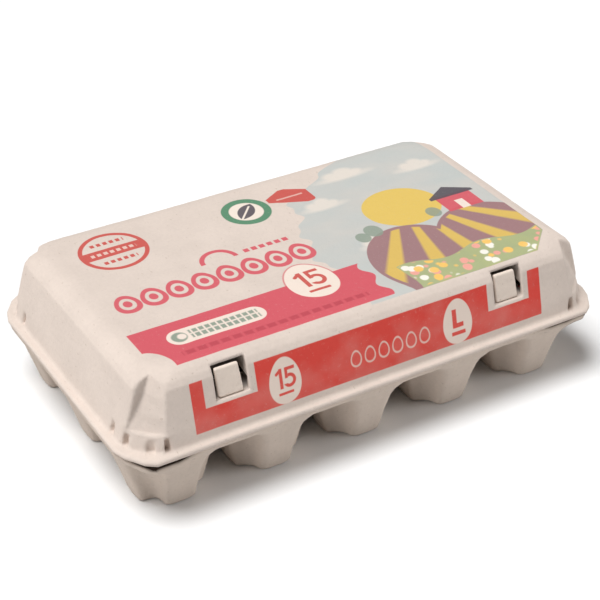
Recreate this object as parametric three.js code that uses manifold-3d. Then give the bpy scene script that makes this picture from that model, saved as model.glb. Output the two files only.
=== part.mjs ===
// A shut carton of moulded paper pulp for fifteen eggs: a tray of cups under a rim, the lid that
// closes on it, and the two latch tabs that look out of the lid's windows.
// Millimetres, +Z up, the cups' feet on z = 0, the latches on the front at -Y.
import * as THREE from "three";
import { mergeVertices } from "three/addons/utils/BufferGeometryUtils.js";
import Module from "manifold-3d";

const wasm = await Module();
wasm.setup();

// Driving dimensions
const COLUMNS = 5;
const ROWS = 3;
const PITCH_X = 48.5;        // from egg to egg along the front
const PITCH_Y = 49.7;        // from egg to egg towards the back
const CUPS_X = -3.0;         // the cups and the latches sit a little towards one end of the rim
const LATCHES_X = -1.3;
const RIM_LENGTH = 255.6;    // over the lid's rim
const RIM_DEPTH = 154;
const CORNER_X = 10;         // the rim's cut corners, along the front
const CORNER_Y = 15;         // and along the sides
const CORNER_NOTCH = 1.6;    // how much deeper the corner cups' outer hollows are
const SEAM_Z = 33.0;         // top of the tray's rim
const LID_TOP_Z = 70.4;
const LEDGE_Z = 44.6;        // where the corners' hollows start
const PART_GAP = 0.3;        // clearance between pieces that touch

// The latches
const WINDOW_X = 73.6;       // from their middle to each window
const WINDOW_WIDTH = 16.5;
const WINDOW_BOTTOM_Z = 51.8;
const WINDOW_TOP_Z = 67.0;
const WINDOW_BACK_Y = -57.5; // how far in the windows reach
const POCKET_FRONT_Y = -67.4; // behind the wall each window widens at its foot
const POCKET_TOP_Z = 57.5;
const POCKET_SIDE = 3.2;
const TAB_WIDTH = 12.3;      // at the foot
const TAB_X = -0.4;          // the tabs stand nearer the left edge of their windows
const TAB_LEAN = -0.9;       // and lean further to the left,
const TAB_TAPER = 0.08;      // this share narrower at the head
const TAB_TOP_Z = 65.8;
const TAB_FOOT_Y = -69.6;    // the tabs' faces, at the foot and at the head
const TAB_HEAD_Y = -67.0;
const TAB_THICKNESS = 2.2;
const TAB_EDGE = 0.8;        // rounding of the tabs' sides
const TAB_SILL_GAP = 0.4;

// A closed solid from a stack of outlines with the same number of points, each end fanned from its middle
function loft(outlines) {
  const sides = outlines[0].length;
  const positions = [];
  const index = [];
  for (const outline of outlines) {
    for (const point of outline) positions.push(point.x, point.y, point.z);
  }
  for (let level = 0; level + 1 < outlines.length; level += 1) {
    for (let side = 0; side < sides; side += 1) {
      const here = level * sides + side;
      const next = level * sides + ((side + 1) % sides);
      index.push(here, next, next + sides, here, next + sides, here + sides);
    }
  }
  const caps = [[0, true], [outlines.length - 1, false]];
  for (const [level, facesDown] of caps) {
    const middle = new THREE.Vector3();
    for (const point of outlines[level]) middle.addScaledVector(point, 1 / sides);
    const centre = positions.length / 3;
    positions.push(middle.x, middle.y, middle.z);
    for (let side = 0; side < sides; side += 1) {
      const here = level * sides + side;
      const next = level * sides + ((side + 1) % sides);
      index.push(centre, facesDown ? next : here, facesDown ? here : next);
    }
  }
  const geometry = new THREE.BufferGeometry();
  geometry.setAttribute("position", new THREE.Float32BufferAttribute(positions, 3));
  geometry.setIndex(index);
  return geometry;
}

function toSolid(geometry) {
  const bare = geometry.clone();
  bare.deleteAttribute("normal");
  bare.deleteAttribute("uv");
  const merged = mergeVertices(bare, 1e-4);
  const mesh = new wasm.Mesh({
    numProp: 3,
    vertProperties: new Float32Array(merged.attributes.position.array),
    triVerts: new Uint32Array(merged.index.array),
  });
  return new wasm.Manifold(mesh);
}

function toGeometry(solid) {
  const mesh = solid.getMesh();
  const geometry = new THREE.BufferGeometry();
  geometry.setAttribute("position", new THREE.BufferAttribute(new Float32Array(mesh.vertProperties), 3));
  geometry.setIndex(new THREE.BufferAttribute(new Uint32Array(mesh.triVerts), 1));
  return geometry;
}

// A rectangle with its corners cut and the cuts' ends softened, four points to a corner
function cutRectangle(halfX, halfY, z, cutX = CORNER_X, cutY = CORNER_Y, soft = 0.22) {
  const corner = [
    [0, -cutY * (1 + soft)],
    [-cutX * soft, -cutY * (1 - soft)],
    [-cutX * (1 - soft), -cutY * soft],
    [-cutX * (1 + soft), 0],
  ];
  const outline = [];
  const quarters = [[1, 1], [-1, 1], [-1, -1], [1, -1]];
  for (const [signX, signY] of quarters) {
    const inOrder = signX * signY > 0 ? corner : [...corner].reverse();
    for (const [dx, dy] of inOrder) {
      outline.push(new THREE.Vector3(signX * (halfX + dx), signY * (halfY + dy), z));
    }
  }
  return outline;
}

// One level of a cup: four lobes along X and Y, with a hollow between each two.
// reach is from the middle to a lobe's face, half the lobe's half width, notch the hollow's place on the
// diagonal. The hollow of a corner cup that faces the carton's corner is deeper.
function cupOutline(x, y, z, reach, half, notch, deepTurn) {
  const crown = 0.35;
  const blend = 0.45;
  const shoulder = reach - 0.9;
  const outline = [];
  for (let turn = 0; turn < 4; turn += 1) {
    const valley = turn === deepTurn ? notch - CORNER_NOTCH : notch;
    const quarter = [
      [reach + crown, 0],
      [reach, half * 0.75],
      [shoulder, half],
      [THREE.MathUtils.lerp(shoulder, valley, blend + 0.2), THREE.MathUtils.lerp(half, valley, blend)],
      [valley, valley],
      [THREE.MathUtils.lerp(half, valley, blend), THREE.MathUtils.lerp(shoulder, valley, blend + 0.2)],
      [half, shoulder],
      [half * 0.75, reach],
    ];
    for (const [along, across] of quarter) {
      const point = new THREE.Vector3(along, across, 0);
      point.applyAxisAngle(new THREE.Vector3(0, 0, 1), (turn * Math.PI) / 2);
      outline.push(new THREE.Vector3(x + point.x, y + point.y, z));
    }
  }
  return outline;
}

// Levels of a cup from the foot up to inside the rim: [z, reach, half, notch]
const CUP_LEVELS = [
  [0, 15.2, 6.6, 9.4],
  [1.2, 16.2, 7.4, 10.1],
  [13, 19.6, 8.1, 12.4],
  [23, 22.7, 9.3, 15.0],
  [27.0, 24.2, 10.8, 17.2],
  [29.6, 25.6, 14.4, 20.6],
  [31.0, 27.0, 19.5, 23.2],
];

// Levels of the lid from the rim up: [how far in along X, along Y, z, corner's cut along X, along Y].
// The rim is a flat flange; the walls stand on it, lean in and round over into the top.
const LID_LEVELS = [
  [0.5, 0.5, SEAM_Z + PART_GAP, CORNER_X, CORNER_Y],
  [0, 0, 34.0, CORNER_X, CORNER_Y],
  [0, 0, 35.1, CORNER_X, CORNER_Y],
  [0.7, 0.6, 35.9, CORNER_X, CORNER_Y],
  [3.2, 2.8, 36.2, CORNER_X, CORNER_Y],
  [4.0, 3.3, 37.4, 11, 13.4],
  [4.6, 3.6, 39.7, 11, 13],
  [5.6, 4.4, LEDGE_Z - 0.6, 11, 12.6],
  [6.0, 4.8, LEDGE_Z + 1, 10.4, 10.8],
  [10.8, 9.3, LID_TOP_Z - 6.8, 9.2, 8],
  [12.6, 10.9, LID_TOP_Z - 4.2, 9.2, 8],
  [15.4, 13.3, LID_TOP_Z - 2.0, 9.2, 8.6],
  [18.4, 15.9, LID_TOP_Z - 0.6, 9, 9.4],
  [22.1, 19.3, LID_TOP_Z, 8, 9.4],
];

// The upright dents round each corner's foot: place, turn from the end wall's way out, width and depth
const FOOT_DENTS = [
  [-123.6, -49.0, 0, 3.8, 2.4],
  [-123.2, -60.4, 0.3, 3.6, 3.4],
  [-115.2, -70.0, 0.9, 5.6, 1.4],
  [-108.4, -73.2, Math.PI / 2, 3.4, 2.6],
];

function column(i) {
  return CUPS_X + (i - (COLUMNS - 1) / 2) * PITCH_X;
}

function row(j) {
  return (j - (ROWS - 1) / 2) * PITCH_Y;
}

// Which of a cup's four hollows faces the carton's corner, or none
function cornerTurn(i, j) {
  const atEnd = i === 0 || i === COLUMNS - 1;
  const atSide = j === 0 || j === ROWS - 1;
  if (!atEnd || !atSide) return -1;
  if (j === 0) return i === 0 ? 2 : 3;
  return i === 0 ? 1 : 0;
}

// The tray: a rim with its lip turned a little down, and fifteen cups grown into it
function makeTray() {
  const halfX = RIM_LENGTH / 2 - 0.8;
  const halfY = RIM_DEPTH / 2 - 0.8;
  let tray = toSolid(loft([
    cutRectangle(halfX - 2.8, halfY - 2.6, 29.2),
    cutRectangle(halfX - 0.5, halfY - 0.7, 30.0),
    cutRectangle(halfX, halfY, 30.7),
    cutRectangle(halfX, halfY, SEAM_Z - 0.6),
    cutRectangle(halfX - 0.5, halfY - 0.5, SEAM_Z),
  ]));
  const clipX = RIM_LENGTH / 2 - 1.6;
  const clipY = RIM_DEPTH / 2 - 2.6;
  const clip = toSolid(loft([cutRectangle(clipX, clipY, -1), cutRectangle(clipX, clipY, SEAM_Z - 1)]));
  for (let j = 0; j < ROWS; j += 1) {
    for (let i = 0; i < COLUMNS; i += 1) {
      const levels = CUP_LEVELS.map(([z, reach, half, notch]) => (
        cupOutline(column(i), row(j), z, reach, half, notch, cornerTurn(i, j))));
      tray = tray.add(toSolid(loft(levels)).intersect(clip));
    }
  }
  return toGeometry(tray);
}

// The outlines below are drawn for the corner at -X -Y; this turns them to the corner asked for
function atCorner(points, z, signX, signY) {
  const outline = points.map(([x, y]) => new THREE.Vector3(-signX * x, -signY * y, z));
  return signX * signY > 0 ? outline : outline.reverse();
}

// Levels of a corner's hollow: [z, x and y of its deepest line, x and y of its edge on the front wall]
const HOLLOW_LEVELS = [
  [LEDGE_Z, -121.4, -59.8, -108.4, -72.4],
  [51.8, -116.8, -60.0, -107.4, -70.8],
  [60.3, -112.1, -59.8, -106.2, -68.7],
  [LID_TOP_Z - 3.4, -109.4, -58.8, -105.0, -66.6],
  [LID_TOP_Z + 1, -107.8, -57.6, -104.2, -63.8],
];

// The hollow that takes the edge off each corner of the lid: it starts shallow on the ledge and is deepest
// at the top, with an upright step on the end wall's side and a slanting face on the other
function cornerHollow(signX, signY) {
  const farX = -RIM_LENGTH;
  const farY = -RIM_DEPTH;
  const outlines = HOLLOW_LEVELS.map(([z, deepX, deepY, frontX, frontY]) => {
    const stepFoot = [-RIM_LENGTH / 2 - 2, deepY + 0.3];
    return atCorner([[farX, farY], [frontX, farY], [frontX, frontY], [deepX, deepY], stepFoot], z, signX, signY);
  });
  return toSolid(loft(outlines));
}

// Levels of a foot dent: [z, share of its width, share of its depth]
const DENT_LEVELS = [[36.3, 0.9, 1.4], [37.8, 1, 1.3], [42.0, 1, 0.9], [44.6, 0.5, -0.2]];

// An upright dent in a wall's foot: at a place along the wall, turned to face out of it
function footDent([x, y, turn, width, depth], signX, signY) {
  const levels = DENT_LEVELS.map(([z, wide, deep]) => [z, (wide * width) / 2, deep * depth]);
  const outlines = levels.map(([z, side, deep]) => {
    const corners = [[6, -side - 1], [6, side + 1], [-deep, side * 0.6], [-deep, -side * 0.6]];
    const turned = corners.map(([out, along]) => {
      const point = new THREE.Vector2(-out, -along).rotateAround(new THREE.Vector2(0, 0), turn);
      return [x + point.x, y + point.y];
    });
    return atCorner(turned, z, signX, signY);
  });
  return toSolid(loft(outlines));
}

// A box to cut from a window's sill up to top, and from frontY in to the window's back
function windowBox(side, width, frontY, top) {
  const depth = WINDOW_BACK_Y - frontY;
  const height = top - WINDOW_BOTTOM_Z;
  const box = new THREE.BoxGeometry(width, depth, height);
  box.translate(LATCHES_X + side * WINDOW_X, frontY + depth / 2, WINDOW_BOTTOM_Z + height / 2);
  return toSolid(box);
}

// The lid: rim, drafted walls with cut corners, and a top that rounds over, with the two windows cut in
function makeLid() {
  const outlines = LID_LEVELS.map(([inX, inY, z, cutX, cutY]) => (
    cutRectangle(RIM_LENGTH / 2 - inX, RIM_DEPTH / 2 - inY, z, cutX, cutY)));
  let lid = toSolid(loft(outlines));
  for (const signX of [1, -1]) {
    for (const signY of [1, -1]) {
      lid = lid.subtract(cornerHollow(signX, signY));
      for (const dent of FOOT_DENTS) lid = lid.subtract(footDent(dent, signX, signY));
    }
  }
  for (const side of [-1, 1]) {
    lid = lid.subtract(windowBox(side, WINDOW_WIDTH, -RIM_DEPTH / 2, WINDOW_TOP_Z));
    lid = lid.subtract(windowBox(side, WINDOW_WIDTH + 2 * POCKET_SIDE, POCKET_FRONT_Y, POCKET_TOP_Z));
  }
  return toGeometry(lid);
}

// A latch tab: a tongue of pulp with a round head that stands on its window's sill, leans back and
// to the left, and narrows a little
function makeTab(side) {
  const bottom = WINDOW_BOTTOM_Z + TAB_SILL_GAP;
  const shoulder = TAB_TOP_Z - TAB_THICKNESS / 2;
  const profile = new THREE.Shape();
  profile.moveTo(TAB_FOOT_Y + TAB_THICKNESS, bottom);
  profile.lineTo(TAB_FOOT_Y, bottom);
  profile.lineTo(TAB_HEAD_Y, shoulder);
  profile.absarc(TAB_HEAD_Y + TAB_THICKNESS / 2, shoulder, TAB_THICKNESS / 2, Math.PI, 0, true);
  profile.closePath();
  const geometry = new THREE.ExtrudeGeometry(profile, {
    depth: TAB_WIDTH - 2 * TAB_EDGE,
    bevelThickness: TAB_EDGE,
    bevelSize: TAB_EDGE / 2,
    bevelOffset: -TAB_EDGE / 2,
    bevelSegments: 2,
    curveSegments: 8,
  });
  geometry.rotateX(Math.PI / 2);
  geometry.rotateZ(Math.PI / 2);
  geometry.computeBoundingBox();
  const middle = (geometry.boundingBox.min.x + geometry.boundingBox.max.x) / 2;
  const place = geometry.attributes.position;
  for (let point = 0; point < place.count; point += 1) {
    const share = (place.getZ(point) - bottom) / (TAB_TOP_Z - bottom);
    place.setX(point, (place.getX(point) - middle) * (1 - TAB_TAPER * share) + TAB_LEAN * share);
  }
  geometry.translate(LATCHES_X + side * WINDOW_X + TAB_X, 0, 0);
  return toGeometry(toSolid(geometry));
}

const pulp = new THREE.MeshStandardMaterial({ color: 0xdccdbb, roughness: 0.92, metalness: 0 });
const tabPulp = pulp.clone();

function piece(name, geometry, material) {
  const mesh = new THREE.Mesh(geometry, material);
  mesh.name = name;
  return mesh;
}

const carton = new THREE.Group();
carton.add(piece("tray", makeTray(), pulp));
carton.add(piece("lid", makeLid(), pulp));
carton.add(piece("latch_tab_left", makeTab(-1), tabPulp));
carton.add(piece("latch_tab_right", makeTab(1), tabPulp));

export default carton;
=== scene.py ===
import math

import bpy
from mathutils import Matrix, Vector


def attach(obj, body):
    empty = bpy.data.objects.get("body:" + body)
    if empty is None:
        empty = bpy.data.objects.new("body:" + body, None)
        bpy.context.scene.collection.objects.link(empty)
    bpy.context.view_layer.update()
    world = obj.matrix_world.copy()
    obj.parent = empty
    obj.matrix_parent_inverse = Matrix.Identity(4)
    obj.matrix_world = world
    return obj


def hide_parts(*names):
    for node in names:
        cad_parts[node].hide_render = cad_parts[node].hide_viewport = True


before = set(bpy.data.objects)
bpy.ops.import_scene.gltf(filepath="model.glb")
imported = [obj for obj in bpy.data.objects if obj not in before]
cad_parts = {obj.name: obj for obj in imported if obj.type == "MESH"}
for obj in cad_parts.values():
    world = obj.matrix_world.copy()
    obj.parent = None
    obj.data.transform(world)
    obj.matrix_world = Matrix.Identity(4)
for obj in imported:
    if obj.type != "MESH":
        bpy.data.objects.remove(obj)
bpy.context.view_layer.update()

# The table under the carton
# A wide sheet of pale card in a small product studio: one broad soft lamp high on the left, two weak ones
# low on the left and on the right in front, and an even sky. The card shows the camera a paler colour than
# the one it gives back as light, so it throws less light onto the carton than its look says.
TABLE_SIZE = 12.0
TABLE_COLOUR = (0.90, 0.90, 0.90, 1)
THROWN_BACK = (0.55, 0.55, 0.55, 1)
CARD_ROUGHNESS = 0.9
CARD_GLOSS = 0.1
SKY_STRENGTH = 0.07
LAMPS = (
    # name, strength, spread, height over the table and turn from the left end towards the front, degrees
    ("broad_lamp", 3.35, 34, 72, -10),
    ("left_lamp", 1.2, 26, 6, 10),
    ("right_lamp", 1.5, 30, 10, 146),
)


def tint(tree, share, under, over):
    """A colour with another laid over it where share is 1. A colour is a socket or four numbers."""
    node = tree.nodes.new("ShaderNodeMix")
    node.data_type = "RGBA"
    tree.links.new(share, node.inputs["Factor"])
    for name, colour in (("A", under), ("B", over)):
        socket = [s for s in node.inputs if s.name == name and s.type == "RGBA"][0]
        if isinstance(colour, bpy.types.NodeSocket):
            tree.links.new(colour, socket)
        else:
            socket.default_value = colour
    return [s for s in node.outputs if s.type == "RGBA"][0]


bpy.ops.mesh.primitive_plane_add(size=TABLE_SIZE, location=(0, 0, 0))
table = bpy.context.object
table.name = "table"
card = bpy.data.materials.new("pale_card")
card.use_nodes = True
card_shader = card.node_tree.nodes["Principled BSDF"]
seen = card.node_tree.nodes.new("ShaderNodeLightPath")
# The card's colour is paler for camera rays than for the light it throws back onto the carton.
card_colour = tint(card.node_tree, seen.outputs["Is Camera Ray"], THROWN_BACK, TABLE_COLOUR)
card.node_tree.links.new(card_colour, card_shader.inputs["Base Color"])
card_shader.inputs["Roughness"].default_value = CARD_ROUGHNESS
card_shader.inputs["Specular IOR Level"].default_value = CARD_GLOSS
table.data.materials.append(card)

sky = bpy.data.worlds.new("sky")
bpy.context.scene.world = sky
sky.use_nodes = True
sky.node_tree.nodes["Background"].inputs["Color"].default_value = (1, 1, 1, 1)
sky.node_tree.nodes["Background"].inputs["Strength"].default_value = SKY_STRENGTH

for name, strength, spread, height, turn in LAMPS:
    lamp = bpy.data.lights.new(name, "SUN")
    lamp.energy = strength
    lamp.angle = math.radians(spread)
    lamp_stand = bpy.data.objects.new(name, lamp)
    bpy.context.scene.collection.objects.link(lamp_stand)
    level = math.cos(math.radians(height))
    lamp_from = Vector((
        -level * math.cos(math.radians(turn)),
        -level * math.sin(math.radians(turn)),
        math.sin(math.radians(height)),
    ))
    lamp_stand.rotation_euler = lamp_from.to_track_quat("Z", "Y").to_euler()

# The camera
# It stands to the left of the carton's front and looks down on the printed lid, from about 0.8 m.
CAMERA_PLACE = (-0.3369, -0.5673, 0.4621)
CAMERA_DOWN = math.radians(32.79)
CAMERA_TURN = math.radians(-30.71)
LENS = 96.84
SENSOR_WIDTH = 36

camera = bpy.data.cameras.new("camera")
camera.lens = LENS
camera.sensor_width = SENSOR_WIDTH
camera_stand = bpy.data.objects.new("camera", camera)
camera_stand.location = CAMERA_PLACE
camera_stand.rotation_euler = (math.pi / 2 - CAMERA_DOWN, 0, CAMERA_TURN)
bpy.context.scene.collection.objects.link(camera_stand)
bpy.context.scene.camera = camera_stand
bpy.context.scene.view_settings.view_transform = "Standard"

# The tray
# One piece of cream paper pulp, sucked onto a wire mould and dried: fifteen cups of four lobes each
# under a rim. Its edges are soft, and its skin is a little lumpy, with flecks of fibre.
TRAY_SQUARES = {"mode": "VOXEL", "voxel_size": 0.00116}
WAVES_APART = 0.03
LUMPS_APART = 0.004
LUMPS_HEIGHT = 0.0002
RIM_TOP = 0.0330
RIM_UNDER_LID = (0.100, 0.050)             # half length and half depth of what the lid hides
RIM_INSET = 0.0009
INSET_OUTWARD = (0.0725, 0.0755)           # where the inset starts and where it is full, three ways
INSET_UPWARD = (0.0285, 0.0305)
INSET_FROM_CORNER = (0.095, 0.085)
SAGS = ((-0.1115, 0.016, 0.0019), (0.1000, 0.011, 0.0008))   # middle along the front, reach, depth
SAG_FORWARD = (0.060, 0.070)
SAG_UPWARD = (0.022, 0.030)
GAP_HALF_LENGTH = 122.6                    # the gap's shade keeps to these, in millimetres
GAP_HALF_DEPTH = 75.5
GAP_FROM_CORNER = 94.5
GAP_BEHIND = 66
GAP_UPWARD = 30.2
PULP_COLOUR = (0.640, 0.540, 0.462, 1)
GAP_SHADE = (0.045, 0.028, 0.020, 1)
FLECK_COLOUR = (0.36, 0.27, 0.20, 1)
FLECK_STRENGTH = 0.35
CLOUD_SIZE = 16                            # sizes of the skin's patterns, in millimetres
GRAIN_SIZE = 1.6
FINE_SIZE = 0.5
FIBRE_SIZE = 1.1
PULP_GLOSS = 0.22


def pick(piece):
    """Makes this the one piece that the next operators work on."""
    bpy.ops.object.select_all(action="DESELECT")
    piece.select_set(True)
    bpy.context.view_layer.objects.active = piece


def finish_with(piece, kind, **settings):
    """Adds a modifier with these settings to the piece and applies it."""
    pick(piece)
    modifier = piece.modifiers.new(kind.lower(), kind)
    for name, value in settings.items():
        setattr(modifier, name, value)
    bpy.ops.object.modifier_apply(modifier=modifier.name)


def roughen(piece, name, apart, height):
    """Gives the skin soft even lumps, this far apart and this high."""
    texture = bpy.data.textures.new(name, "CLOUDS")
    texture.noise_scale = apart
    texture.noise_depth = 2
    finish_with(piece, "DISPLACE", texture=texture, strength=height, mid_level=0.5)


def moulded_copy(node, name, squares, soften, waves=0.0005):
    """The node's form again as soft pulp: an even fine mesh with its edges softened and its skin lumpy."""
    piece = bpy.data.objects.new(name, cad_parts[node].data.copy())
    bpy.context.scene.collection.objects.link(piece)
    pick(piece)
    bpy.ops.object.mode_set(mode="EDIT")
    bpy.ops.mesh.select_all(action="SELECT")
    bpy.ops.mesh.remove_doubles(threshold=1e-6)
    bpy.ops.object.mode_set(mode="OBJECT")
    piece.data.materials.clear()
    finish_with(piece, "REMESH", **squares)
    finish_with(piece, "SMOOTH", factor=0.5, iterations=soften)
    roughen(piece, name + "_waves", WAVES_APART, waves)
    roughen(piece, name + "_lumps", LUMPS_APART, LUMPS_HEIGHT)
    bpy.ops.object.shade_smooth()
    return piece


def join_squares(piece, height, half_length, half_depth):
    """Makes one face of the fine squares at this height, where the other half of the carton hides them."""
    for face in piece.data.polygons:
        middle = face.center
        inside = abs(middle.x) < half_length and abs(middle.y) < half_depth
        face.select = inside and abs(middle.z - height) < 0.001
    bpy.context.tool_settings.mesh_select_mode = (False, False, True)
    pick(piece)
    bpy.ops.object.mode_set(mode="EDIT")
    bpy.ops.mesh.dissolve_faces()
    bpy.ops.object.mode_set(mode="OBJECT")


def rise(value, start, full):
    """0 at start and 1 at full, and straight on past both."""
    return (value - start) / (full - start)


def rework(piece, nearness, kind, **settings):
    """Applies a modifier only where nearness, a function of a place, is over 0, in full where it is 1."""
    area = piece.vertex_groups.new(name="area")
    for vertex in piece.data.vertices:
        share = min(max(nearness(vertex.co), 0), 1)
        if share > 0:
            area.add([vertex.index], share * share * (3 - 2 * share), "REPLACE")
    finish_with(piece, kind, vertex_group="area", **settings)
    piece.vertex_groups.clear()


def press(piece, way, shift, nearness):
    """Shifts the skin along X, Y or Z where nearness is over 0."""
    rework(piece, nearness, "DISPLACE", direction=way, strength=shift, mid_level=0)


tray = moulded_copy("tray", "moulded_tray", TRAY_SQUARES, 1)
join_squares(tray, RIM_TOP, *RIM_UNDER_LID)

# Along the front and the back the rim hides a little under the lid's, and near the front's two corners
# it sags away from it.
for side in (-1, 1):
    press(tray, "Y", -side * RIM_INSET, lambda place: min(
        rise(place.y * side, *INSET_OUTWARD),
        rise(place.z, *INSET_UPWARD),
        rise(abs(place.x + 0.002), *INSET_FROM_CORNER)))
for middle, reach, sag in SAGS:
    press(tray, "Z", -sag, lambda place: min(
        rise(abs(place.x - middle), reach, 0) * 1.6,
        rise(-place.y, *SAG_FORWARD),
        rise(place.z, *SAG_UPWARD)))


class Field:
    """A number that changes over a surface, kept as a socket of a node tree, so that shapes in ink and
    pulp are written as formulas. Lengths are in millimetres."""

    def __init__(self, tree, socket):
        self.tree = tree
        self.socket = socket

    def math(self, operation, *others, clamp=False):
        node = self.tree.nodes.new("ShaderNodeMath")
        node.operation = operation
        node.use_clamp = clamp
        for place, value in enumerate((self, *others)):
            if isinstance(value, Field):
                self.tree.links.new(value.socket, node.inputs[place])
            else:
                node.inputs[place].default_value = value
        return Field(self.tree, node.outputs[0])

    def __add__(self, other):
        return self.math("ADD", other)

    def __sub__(self, other):
        return self.math("SUBTRACT", other)

    def __mul__(self, other):
        return self.math("MULTIPLY", other)

    def __neg__(self):
        return self.math("MULTIPLY", -1)

    def __or__(self, other):
        """Of two outlines, the shape that both cover together."""
        return self.math("MINIMUM", other)

    def __and__(self, other):
        """Of two outlines, the shape where they overlap."""
        return self.math("MAXIMUM", other)

    def size(self):
        return self.math("ABSOLUTE")

    def inked(self, edge=0.35):
        """1 inside an outline and 0 outside, over a soft edge of this width."""
        return (self * (-1 / edge)).math("ADD", 0.5, clamp=True)

    def step(self, low, high):
        """0 at low and 1 at high, straight between."""
        return ((self - low) * (1 / (high - low))).math("MULTIPLY", 1, clamp=True)


def in_millimetres(tree):
    """The place on the piece, as a socket in millimetres."""
    place = tree.nodes.new("ShaderNodeTexCoord")
    scaled = tree.nodes.new("ShaderNodeVectorMath")
    scaled.operation = "SCALE"
    scaled.inputs["Scale"].default_value = 1000
    tree.links.new(place.outputs["Object"], scaled.inputs[0])
    return scaled.outputs[0]


def split(tree, place):
    """The three lengths of a place."""
    node = tree.nodes.new("ShaderNodeSeparateXYZ")
    tree.links.new(place, node.inputs[0])
    return [Field(tree, length) for length in node.outputs]


def noise(tree, place, size, detail=2.0, stretch=(1, 1, 1)):
    """Cloudy grain of about this size in millimetres, from 0 to 1."""
    mapping = tree.nodes.new("ShaderNodeMapping")
    mapping.inputs["Scale"].default_value = stretch
    tree.links.new(place, mapping.inputs["Vector"])
    node = tree.nodes.new("ShaderNodeTexNoise")
    node.inputs["Scale"].default_value = 1 / size
    node.inputs["Detail"].default_value = detail
    tree.links.new(mapping.outputs[0], node.inputs["Vector"])
    return Field(tree, node.outputs["Fac"])


def make_pulp_group():
    """The skin of moulded pulp: cloudy colour, flecks of fibre, the height of its grain and how fully it
    takes ink."""
    group = bpy.data.node_groups.new("moulded_pulp", "ShaderNodeTree")
    for name, kind, way in (
        ("Colour", "NodeSocketColor", "INPUT"),
        ("Fleck colour", "NodeSocketColor", "INPUT"),
        ("Colour", "NodeSocketColor", "OUTPUT"),
        ("Roughness", "NodeSocketFloat", "OUTPUT"),
        ("Height", "NodeSocketFloat", "OUTPUT"),
        ("Cover", "NodeSocketFloat", "OUTPUT"),
    ):
        group.interface.new_socket(name, in_out=way, socket_type=kind)
    entry = group.nodes.new("NodeGroupInput")
    results = group.nodes.new("NodeGroupOutput").inputs
    place = in_millimetres(group)

    clouds = noise(group, place, CLOUD_SIZE, 3)
    grain = noise(group, place, GRAIN_SIZE, 3)
    fine = noise(group, place, FINE_SIZE, 2)
    fibres = noise(group, place, FIBRE_SIZE, 1, stretch=(1, 0.45, 0.8))
    brightness = (clouds - 0.5) * 0.16 + (grain - 0.5) * 0.12 + 1
    shaded = group.nodes.new("ShaderNodeHueSaturation")
    group.links.new(entry.outputs["Colour"], shaded.inputs["Color"])
    group.links.new(brightness.socket, shaded.inputs["Value"])
    flecks = fibres.step(0.69, 0.80) * FLECK_STRENGTH
    colour = tint(group, flecks.socket, shaded.outputs[0], entry.outputs["Fleck colour"])
    group.links.new(colour, results["Colour"])
    group.links.new((grain * 0.12 + 0.82).socket, results["Roughness"])
    height = (clouds - 0.5) * 0.25 + (grain - 0.5) * 0.16 + (fine - 0.5) * 0.07
    group.links.new(height.socket, results["Height"])
    group.links.new((grain * 0.6 + fine * 0.4).socket, results["Cover"])
    return group


PULP_GROUP = make_pulp_group()


def pulp_material(name, colour, relief=1.0):
    """A material of pulp with its group placed in it. Returns the material, its shader and the group."""
    material = bpy.data.materials.new(name)
    material.use_nodes = True
    tree = material.node_tree
    shader = tree.nodes["Principled BSDF"]
    shader.inputs["Specular IOR Level"].default_value = PULP_GLOSS
    pulp = tree.nodes.new("ShaderNodeGroup")
    pulp.node_tree = PULP_GROUP
    pulp.inputs["Colour"].default_value = colour
    pulp.inputs["Fleck colour"].default_value = FLECK_COLOUR
    bump = tree.nodes.new("ShaderNodeBump")
    bump.inputs["Strength"].default_value = relief
    bump.inputs["Distance"].default_value = 0.001
    tree.links.new(pulp.outputs["Height"], bump.inputs["Height"])
    tree.links.new(bump.outputs["Normal"], shader.inputs["Normal"])
    tree.links.new(pulp.outputs["Roughness"], shader.inputs["Roughness"])
    tree.links.new(pulp.outputs["Colour"], shader.inputs["Base Color"])
    return material, shader, pulp


def make_tray_material():
    """Bare pulp, with painted shade on the rim's top where it sags and shows in the gap under the lid."""
    material, shader, pulp = pulp_material("tray_pulp", PULP_COLOUR)
    tree = material.node_tree
    x, y, z = split(tree, in_millimetres(tree))
    cut_corner = x.size() * 0.83 - y * 0.55 - 138.2
    rim = (x.size() - GAP_HALF_LENGTH) & (y.size() - GAP_HALF_DEPTH) & cut_corner
    at_corners = (-(x + 3.0).size() + GAP_FROM_CORNER) & (y + GAP_BEHIND)
    # Painted shade: a dark brown laid on the rim's top inside the gap under the lid.
    gap = rim & at_corners & (-z + GAP_UPWARD)
    colour = tint(tree, gap.inked(0.9).socket, pulp.outputs["Colour"], GAP_SHADE)
    tree.links.new(colour, shader.inputs["Base Color"])
    return material


tray.data.materials.append(make_tray_material())
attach(tray, "root")
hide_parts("tray")

# The lid
# Moulded from the same pulp in one piece with rounded edges, cut corners with a hollow over a ledge,
# and a window for each latch. Its top and front are printed with thin matt ink, which takes less on the
# grain's low spots.
LID_SQUARES = {"mode": "SHARP", "octree_depth": 8, "scale": 0.99, "use_remove_disconnected": False}
LID_FOOT = 0.0333
FOOT_ON_TRAY = (0.118, 0.068)              # half length and half depth of what the tray hides
DENTS_LENGTHWAYS = (0.100, 0.104)          # where the dents' softening starts and where it is full
DENTS_OUTWARD = (0.044, 0.048)
DENTS_FOOT = (0.0350, 0.0365)
DENTS_HEAD = (0.0445, 0.0425)
WINDOWS_X = (-74.9, 72.3)                  # these four in millimetres
WINDOW_HALF_WIDTH = 12.5
WINDOW_FOOT = 52.6
WINDOW_HEAD = 67.6
LID_COLOUR = (0.660, 0.565, 0.500, 1)
WINDOW_SHADE = (0.030, 0.019, 0.012, 1)
CREAM = (0.80, 0.70, 0.61, 1)
RED = (0.68, 0.068, 0.052, 1)
SIGN_RED = (0.54, 0.085, 0.07, 1)
PINK_RED = (0.60, 0.10, 0.125, 1)
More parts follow.
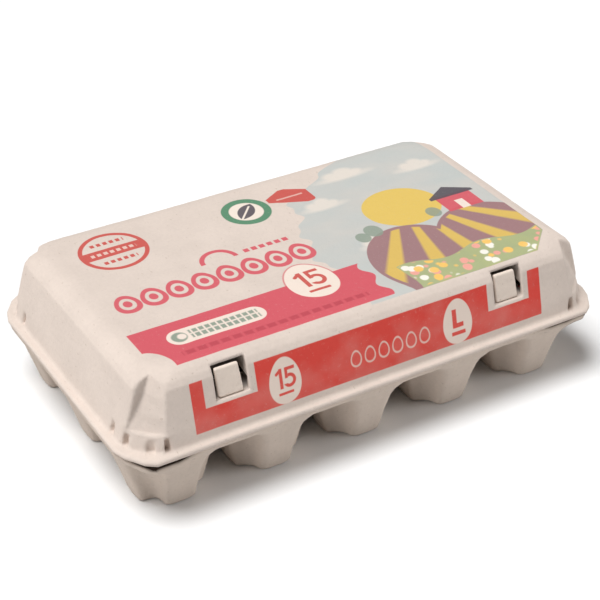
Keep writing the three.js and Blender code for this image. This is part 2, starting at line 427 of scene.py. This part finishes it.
DARK_RED = (0.40, 0.05, 0.07, 1)
GREY_GREEN = (0.25, 0.30, 0.24, 1)
GREEN = (0.085, 0.235, 0.135, 1)
SKY_BLUE = (0.475, 0.505, 0.49, 1)
WHEAT = (0.70, 0.49, 0.11, 1)
MAUVE = (0.32, 0.175, 0.18, 1)
SLATE = (0.10, 0.085, 0.10, 1)
MEADOW = (0.38, 0.42, 0.22, 1)
BLOSSOMS = ((0.80, 0.36, 0.30, 1), (0.86, 0.82, 0.74, 1), (0.85, 0.52, 0.14, 1))
FULL_INK = 0.96

lid = moulded_copy("lid", "moulded_lid", LID_SQUARES, 1)
join_squares(lid, LID_FOOT, *FOOT_ON_TRAY)

# The mould's dents round the corners' feet are worn soft.
rework(lid, lambda place: min(
    rise(abs(place.x), *DENTS_LENGTHWAYS),
    rise(abs(place.y), *DENTS_OUTWARD),
    rise(place.z, *DENTS_FOOT),
    rise(place.z, *DENTS_HEAD)), "SMOOTH", factor=0.5, iterations=5)


def diagonal(x, y):
    """Length of the diagonal over these two."""
    return (x * x + y * y).math("SQRT")


def together(outlines):
    """All of these outlines as one."""
    whole, *others = outlines
    for outline in others:
        whole = whole | outline
    return whole


def line(outline, half_thick):
    """The edge of an outline, drawn as a line."""
    return outline.size() - half_thick


class Sheet:
    """Flat artwork on one side of the lid: x and y are in millimetres along it. Every shape is an
    outline, less than 0 inside."""

    def __init__(self, x, y):
        self.x = x
        self.y = y

    def moved(self, across, up, scale=1.0):
        return Sheet((self.x - across) * (1 / scale), (self.y - up) * (1 / scale))

    def oval(self, half_width, half_height, taper=0.0):
        """An ellipse, or an egg with its point up when it tapers."""
        up = self.y * (1 / half_height)
        across = self.x * (1 / half_width)
        if taper:
            across = across * (up * taper + 1)
        return (diagonal(across, up) - 1) * min(half_width, half_height)

    def bar(self, half_width, half_height, corner=0.0):
        """A rectangle, with its corners rounded when a corner's radius is given."""
        out_x = self.x.size() - (half_width - corner)
        out_y = self.y.size() - (half_height - corner)
        beyond = diagonal(out_x.math("MAXIMUM", 0), out_y.math("MAXIMUM", 0))
        return beyond + out_x.math("MAXIMUM", out_y).math("MINIMUM", 0) - corner

    def stroke(self, start, end, half_thick):
        """A straight stroke from start to end with round ends."""
        along = (end[0] - start[0], end[1] - start[1])
        span = along[0] ** 2 + along[1] ** 2
        from_x = self.x - start[0]
        from_y = self.y - start[1]
        share = (from_x * (along[0] / span) + from_y * (along[1] / span)).step(0, 1)
        return diagonal(from_x - share * along[0], from_y - share * along[1]) - half_thick

    def dashes(self, pace, fullness):
        """Upright strips that make dashes of a line, with gaps that close as fullness nears 1."""
        return (self.x * pace).math("SINE") - fullness

    def eggs(self, first, apart, count, half_width, half_height, taper):
        """A row of equal eggs, the first with its middle at this place."""
        return together(
            self.moved(first[0] + number * apart, first[1]).oval(half_width, half_height, taper)
            for number in range(count))

    def figure_1(self):
        """The figure 1, one unit high."""
        return self.moved(0.06, 0).bar(0.085, 0.5) | self.stroke((0.06, 0.43), (-0.15, 0.27), 0.075)

    def figure_5(self):
        """The figure 5, one unit high."""
        top = self.moved(0.03, 0.42).bar(0.26, 0.08)
        neck = self.moved(-0.17, 0.22).bar(0.075, 0.26)
        ring = line(self.moved(-0.02, -0.17).oval(0.26, 0.26), 0.082)
        open_side = (-self.x - 0.11) | (self.y + 0.30)
        return top | neck | (ring & open_side)

    def fifteen(self, height):
        """The number 15 at this height, in the middle of the sheet."""
        one = self.moved(-0.27 * height, 0, height).figure_1()
        five = self.moved(0.26 * height, 0, height).figure_5()
        return (one | five) * height


def ink(tree, under, outline, colour, cover, edge=0.35):
    """Prints a colour inside an outline, as fully as cover, which is a number or a field, says."""
    return tint(tree, (outline.inked(edge) * cover).socket, under, colour)


def print_front(tree, colour, place, lengths, cover):
    """The red label on the front wall, open round the two latch windows: two plain badges and a row of
    eggs in thin lines. Its ink thins out towards the foot."""
    x, y, z = lengths
    sheet = Sheet(x, z)
    on_front = y + 62.0
    label = sheet.moved(-2.2, 51.8).bar(92.6, 11.6, 0.4)
    for middle, half_width, foot in ((-76.0, 12.6, 50.3), (71.8, 11.7, 50.2)):
        label = label & -sheet.moved(middle, foot + 12).bar(half_width, 12)
    patches = noise(tree, place, 13, 2)
    thinned = z.step(38, 58) * 0.12 + 0.86 + (patches - 0.5) * 0.36
    colour = ink(tree, colour, label & on_front, RED, (cover + 0.06) * thinned)
    eggs = sheet.eggs((-13, 49.6), 7.4, 6, 2.6, 3.5, 0.13)
    colour = ink(tree, colour, line(eggs, 0.32) & on_front, CREAM, cover * 0.7)

    left = sheet.moved(-49.6, 50.9)
    right = sheet.moved(42.4, 50.8)
    badges = left.oval(8.0, 10.8, 0.13) | right.oval(8.0, 10.8, 0.13)
    colour = ink(tree, colour, badges & on_front, CREAM, 0.94)
    letter_l = right.moved(-1.6, 1.6).bar(1.2, 4.4) | right.moved(0.3, -1.9).bar(2.9, 1.1)
    marks = left.moved(0, 1.2).fifteen(9.4) | left.moved(0, -5.8).bar(3.8, 0.6, 0.3)
    marks = marks | letter_l | right.moved(0.2, -5.6).bar(3.8, 0.9, 0.3)
    return ink(tree, colour, marks & on_front, RED, cover)


def print_picture(tree, colour, sheet, cover, place):
    """A plain country scene on the right half of the top: sun, clouds, ploughed hills, a barn, a meadow."""
    wave = (sheet.y * 0.25).math("SINE") * 2.4 + (sheet.y * 0.61).math("SINE") * 1.2
    lean = sheet.y.math("MAXIMUM", -10) * 0.36 + (sheet.y - 36).math("MAXIMUM", 0) * 1.3
    shore = -sheet.x + 3.4 + lean - wave
    cut_corner = (sheet.x - sheet.y - 156) * 0.7
    field = shore & (-sheet.y - 62.6) & (sheet.y - 62) & (sheet.x - 106) & cut_corner
    mist = noise(tree, place, 17, 2, stretch=(0.6, 1.2, 1)).step(0.3, 0.7) * 0.30 + 0.62
    colour = ink(tree, colour, field, SKY_BLUE, mist, 0.6)
    puffs = ((0, 0, 1.0, 2.6), (-0.42, 2.6, 0.36, 3.6), (0.12, 3.6, 0.42, 4.8), (0.55, 1.8, 0.30, 3.0))
    clouds = together(
        sheet.moved(x + across * length, y + up).oval(share * length, half_height)
        for x, y, length in ((27, 22, 11), (52, 44, 14), (90, 34, 11), (30, -22, 8))
        for across, up, share, half_height in puffs)
    colour = ink(tree, colour, clouds & field, CREAM, cover * 0.62, 2.4)
    sun = sheet.moved(60, 3).oval(20.5, 18)
    colour = ink(tree, colour, sun & field, WHEAT, cover)

    hills = sheet.moved(44, -42).oval(27, 30) | sheet.moved(86, -44).oval(30, 33)
    furrow_turn = (sheet.x - 62).math("ARCTAN2", -sheet.y + 12)
    furrows = -(furrow_turn * 19).math("SINE") + 0.35
    colour = ink(tree, colour, hills & field, MAUVE, cover)
    colour = ink(tree, colour, furrows & (hills + 2.0) & field, WHEAT, cover * 0.9, 0.5)

    barn = sheet.moved(88, -6)
    colour = ink(tree, colour, barn.bar(10, 7.5), PINK_RED, cover)
    colour = ink(tree, colour, barn.moved(0, -3.4).bar(2.4, 4.2), CREAM, cover)
    slopes = barn.x.size() * 0.62 + (barn.y - 15.5)
    roof = slopes & (-barn.y + 5.6) & (barn.x.size() - 12.6)
    colour = ink(tree, colour, roof, SLATE, cover)
    for x, y, size in ((27.5, -13, 4.4), (35, -10, 5.4), (70.5, -9.5, 4.6)):
        bush = sheet.moved(x, y).oval(size * 0.85, size)
        colour = ink(tree, colour, bush, GREY_GREEN, cover * 0.9)

    edge = sheet.y + 45 + (sheet.x * 0.15).math("SINE") * 2.5
    meadow = edge & field & (-sheet.x + 21 - sheet.y * 0.12)
    colour = ink(tree, colour, meadow, MEADOW, cover)
    for number, blossom in enumerate(BLOSSOMS):
        spots = tree.nodes.new("ShaderNodeTexVoronoi")
        spots.inputs["Scale"].default_value = 0.14
        shift = tree.nodes.new("ShaderNodeMapping")
        shift.inputs["Location"].default_value = (number * 37.0, number * 11.0, 0)
        tree.links.new(place, shift.inputs["Vector"])
        tree.links.new(shift.outputs[0], spots.inputs["Vector"])
        dots = Field(tree, spots.outputs["Distance"]) * 7 - 2.3
        colour = ink(tree, colour, dots & (meadow + 0.8), blossom, cover, 0.5)
    return colour


def print_signs(tree, colour, sheet, cover):
    """Three small signs at the back of the top: a red stamp, a green ring round a leaf, a red ticket."""
    stamp = sheet.moved(-80, 36.8)
    dashes = stamp.dashes(1.9, 0.35)
    bar = stamp.bar(16, 3.7) & stamp.oval(16, 16)
    small = (stamp.moved(0, 8.4).bar(8.6, 1.3) | stamp.moved(0, -8.4).bar(8.6, 1.3)) & dashes
    colour = ink(tree, colour, line(stamp.oval(15.8, 15.8), 1.1) | bar | small, SIGN_RED, cover)
    colour = ink(tree, colour, stamp.bar(11.5, 1.2) & dashes, CREAM, cover * 0.7)

    sign = sheet.moved(-8.2, 37.6)
    colour = ink(tree, colour, line(sign.oval(10.6, 10.6), 1.9), GREEN, cover)
    colour = ink(tree, colour, sign.oval(8.4, 8.4), CREAM, FULL_INK)
    leaf = sign.moved(-4.0, 3.6).oval(9.6, 9.6) & sign.moved(4.0, -3.6).oval(9.6, 9.6)
    vein = sign.stroke((-6, -6.6), (3.4, 3.8), 0.5)
    colour = ink(tree, colour, leaf & -vein, SLATE, cover)

    ticket = sheet.moved(17, 39.5)
    cut_foot = -ticket.y - ticket.x * 0.45 - 5.6
    shape = ticket.bar(11.5, 8.5, 2.5) & (ticket.x.size() * 0.55 + (ticket.y - 9.5)) & cut_foot
    colour = ink(tree, colour, shape, SIGN_RED, cover)
    return ink(tree, colour, ticket.moved(0.5, 0.4).bar(7.4, 0.6, 0.4), CREAM, cover * 0.5)


def print_band(tree, colour, sheet, cover):
    """The red band along the top's front, with a long pill and a badge in the shape of an egg."""
    wave = (sheet.y * 0.40).math("SINE")
    band = (sheet.y + 31.2) & (-sheet.y - 61) & (-sheet.x - 106) & (sheet.x - 12.4 - wave * 1.9)
    band = band & -sheet.moved(-108, -62).oval(11.5, 15.5)
    colour = ink(tree, colour, band, PINK_RED, cover + 0.03)
    rule = sheet.moved(-44, -55.4).bar(47, 1.5) & sheet.dashes(1.1, 0.7)

    pill = sheet.moved(-68, -43.6)
    colour = ink(tree, colour, pill.bar(24.2, 5.6, 5.6), CREAM, FULL_INK)
    lines = pill.moved(3.8, 1.9).bar(17.0, 1.3) | pill.moved(3.8, -1.8).bar(17.0, 1.5)
    disc = pill.moved(-18.5, 0).oval(3.7, 3.7) & -pill.moved(-17.3, 0).oval(2.1, 2.1)
    colour = ink(tree, colour, (lines & pill.dashes(2.0, 0.62)) | disc, GREY_GREEN, cover, 0.7)
    colour = ink(tree, colour, rule, DARK_RED, cover * 0.62, 0.8)

    badge = sheet.moved(-13.6, -32.8)
    colour = ink(tree, colour, badge.oval(12.9, 15.5, 0.1), PINK_RED, cover * 0.7)
    colour = ink(tree, colour, badge.oval(12.1, 14.7, 0.1), CREAM, FULL_INK)
    marks = badge.moved(0, 1.8).fifteen(13.0) | badge.moved(0, -8.4).bar(5.6, 0.9, 0.5)
    return ink(tree, colour, marks, SIGN_RED, cover)


def print_top(tree, colour, place, lengths, cover):
    """The print on the lid's top, seen from the front: picture, signs, a row of eggs and the red band."""
    x, y, z = lengths
    sheet = Sheet(x, y)
    on_top = -z + 68.6
    printed = print_picture(tree, colour, sheet, cover, place)
    printed = print_signs(tree, printed, sheet, cover)

    rising = sheet.moved(-41, 3.6)
    arc = line(rising.oval(8.6, 8.6), 1.2) & -rising.y
    tag = sheet.moved(-15.6, 5.4).bar(12, 1.5) & sheet.dashes(1.5, 0.5)
    eggs = sheet.eggs((-94.4, -8.4), 12.9, 8, 5.0, 6.2, 0.14)
    yolks = eggs + 2.9
    printed = ink(tree, printed, line(eggs, 1.15) | yolks | arc | tag, PINK_RED, cover)
    printed = print_band(tree, printed, sheet, cover)
    return tint(tree, on_top.inked(0.6).socket, colour, printed)


def shade_windows(tree, colour, lengths):
    """Painted shade in the hollow behind each latch window, dark where it runs deep into the pulp."""
    x, y, z = lengths
    depth = y + 59.0 + z.step(59.5, 57.5) * 9.0 + z.step(63.2, 64.6) * 4.6
    for middle in WINDOWS_X:
        hole = (x - middle).size() - WINDOW_HALF_WIDTH
        hole = hole & (-z + WINDOW_FOOT) & (z - WINDOW_HEAD) & (y + 54)
        # Painted shade: near-black laid over the pulp deep inside each window.
        share = hole.inked(0.5) * depth.step(0, 2.0)
        colour = tint(tree, share.socket, colour, WINDOW_SHADE)
    return colour


def make_lid_material():
    """Pulp with the front's label, the top's print and the windows' painted shade."""
    material, shader, pulp = pulp_material("printed_lid_pulp", LID_COLOUR, 0.8)
    tree = material.node_tree
    place = in_millimetres(tree)
    lengths = split(tree, place)
    cover = Field(tree, pulp.outputs["Cover"]).step(0.22, 0.42) * 0.3 + 0.66
    colour = print_front(tree, pulp.outputs["Colour"], place, lengths, cover)
    colour = print_top(tree, colour, place, lengths, cover)
    colour = shade_windows(tree, colour, lengths)
    tree.links.new(colour, shader.inputs["Base Color"])
    return material


lid.data.materials.append(make_lid_material())
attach(lid, "root")
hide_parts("lid")

# The latch tabs
# The tray's inner flap has two tongues that spring out through the lid's windows and hold it shut.
# They are bare pulp, thick and rounded, and lean back towards the slot over them. Their pulp is painted
# paler than the tray's, as painted light on them.
TAB_SQUARES = {"mode": "VOXEL", "voxel_size": 0.0004}
TAB_WAVES = 0.0002
# The tabs' colour is the tray's pulp with painted light, paler than it.
TAB_PAINTED_LIGHT_COLOUR = (0.765, 0.655, 0.568, 1)

lit_tab_pulp = pulp_material("lit_tab_pulp", TAB_PAINTED_LIGHT_COLOUR)[0]
for node, name in (("latch_tab_left", "left_tab"), ("latch_tab_right", "right_tab")):
    tab = moulded_copy(node, name, TAB_SQUARES, 2, TAB_WAVES)
    tab.data.materials.append(lit_tab_pulp)
    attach(tab, "root")
    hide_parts(node)

# The hinge along the back
# Lid and tray come out of the mould as one sheet; along the back it is pressed thin and folded, so a
# narrow rounded strip of pulp joins the two rims there.
HINGE_LENGTH = 0.196
HINGE_HEIGHT = 0.0046
HINGE_BULGE = 0.0012
HINGE_PLACE = (-0.001, 0.0765, 0.0332)

bpy.ops.object.select_all(action="DESELECT")
bpy.ops.mesh.primitive_cylinder_add(vertices=24, radius=HINGE_HEIGHT / 2, depth=HINGE_LENGTH)
hinge = bpy.context.object
hinge.name = "back_hinge"
bpy.ops.object.mode_set(mode="EDIT")
bpy.ops.mesh.select_all(action="SELECT")
bpy.ops.transform.rotate(value=math.pi / 2, orient_axis="Y", center_override=(0, 0, 0))
bpy.ops.transform.resize(value=(1, 2 * HINGE_BULGE / HINGE_HEIGHT, 1), center_override=(0, 0, 0))
bpy.ops.transform.translate(value=HINGE_PLACE)
bpy.ops.object.mode_set(mode="OBJECT")
finish_with(hinge, "REMESH", mode="VOXEL", voxel_size=0.0006)
finish_with(hinge, "SMOOTH", factor=0.5, iterations=3)
roughen(hinge, "hinge_lumps", 0.006, 0.0005)
bpy.ops.object.shade_smooth()
hinge.data.materials.append(pulp_material("hinge_pulp", PULP_COLOUR)[0])
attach(hinge, "root")
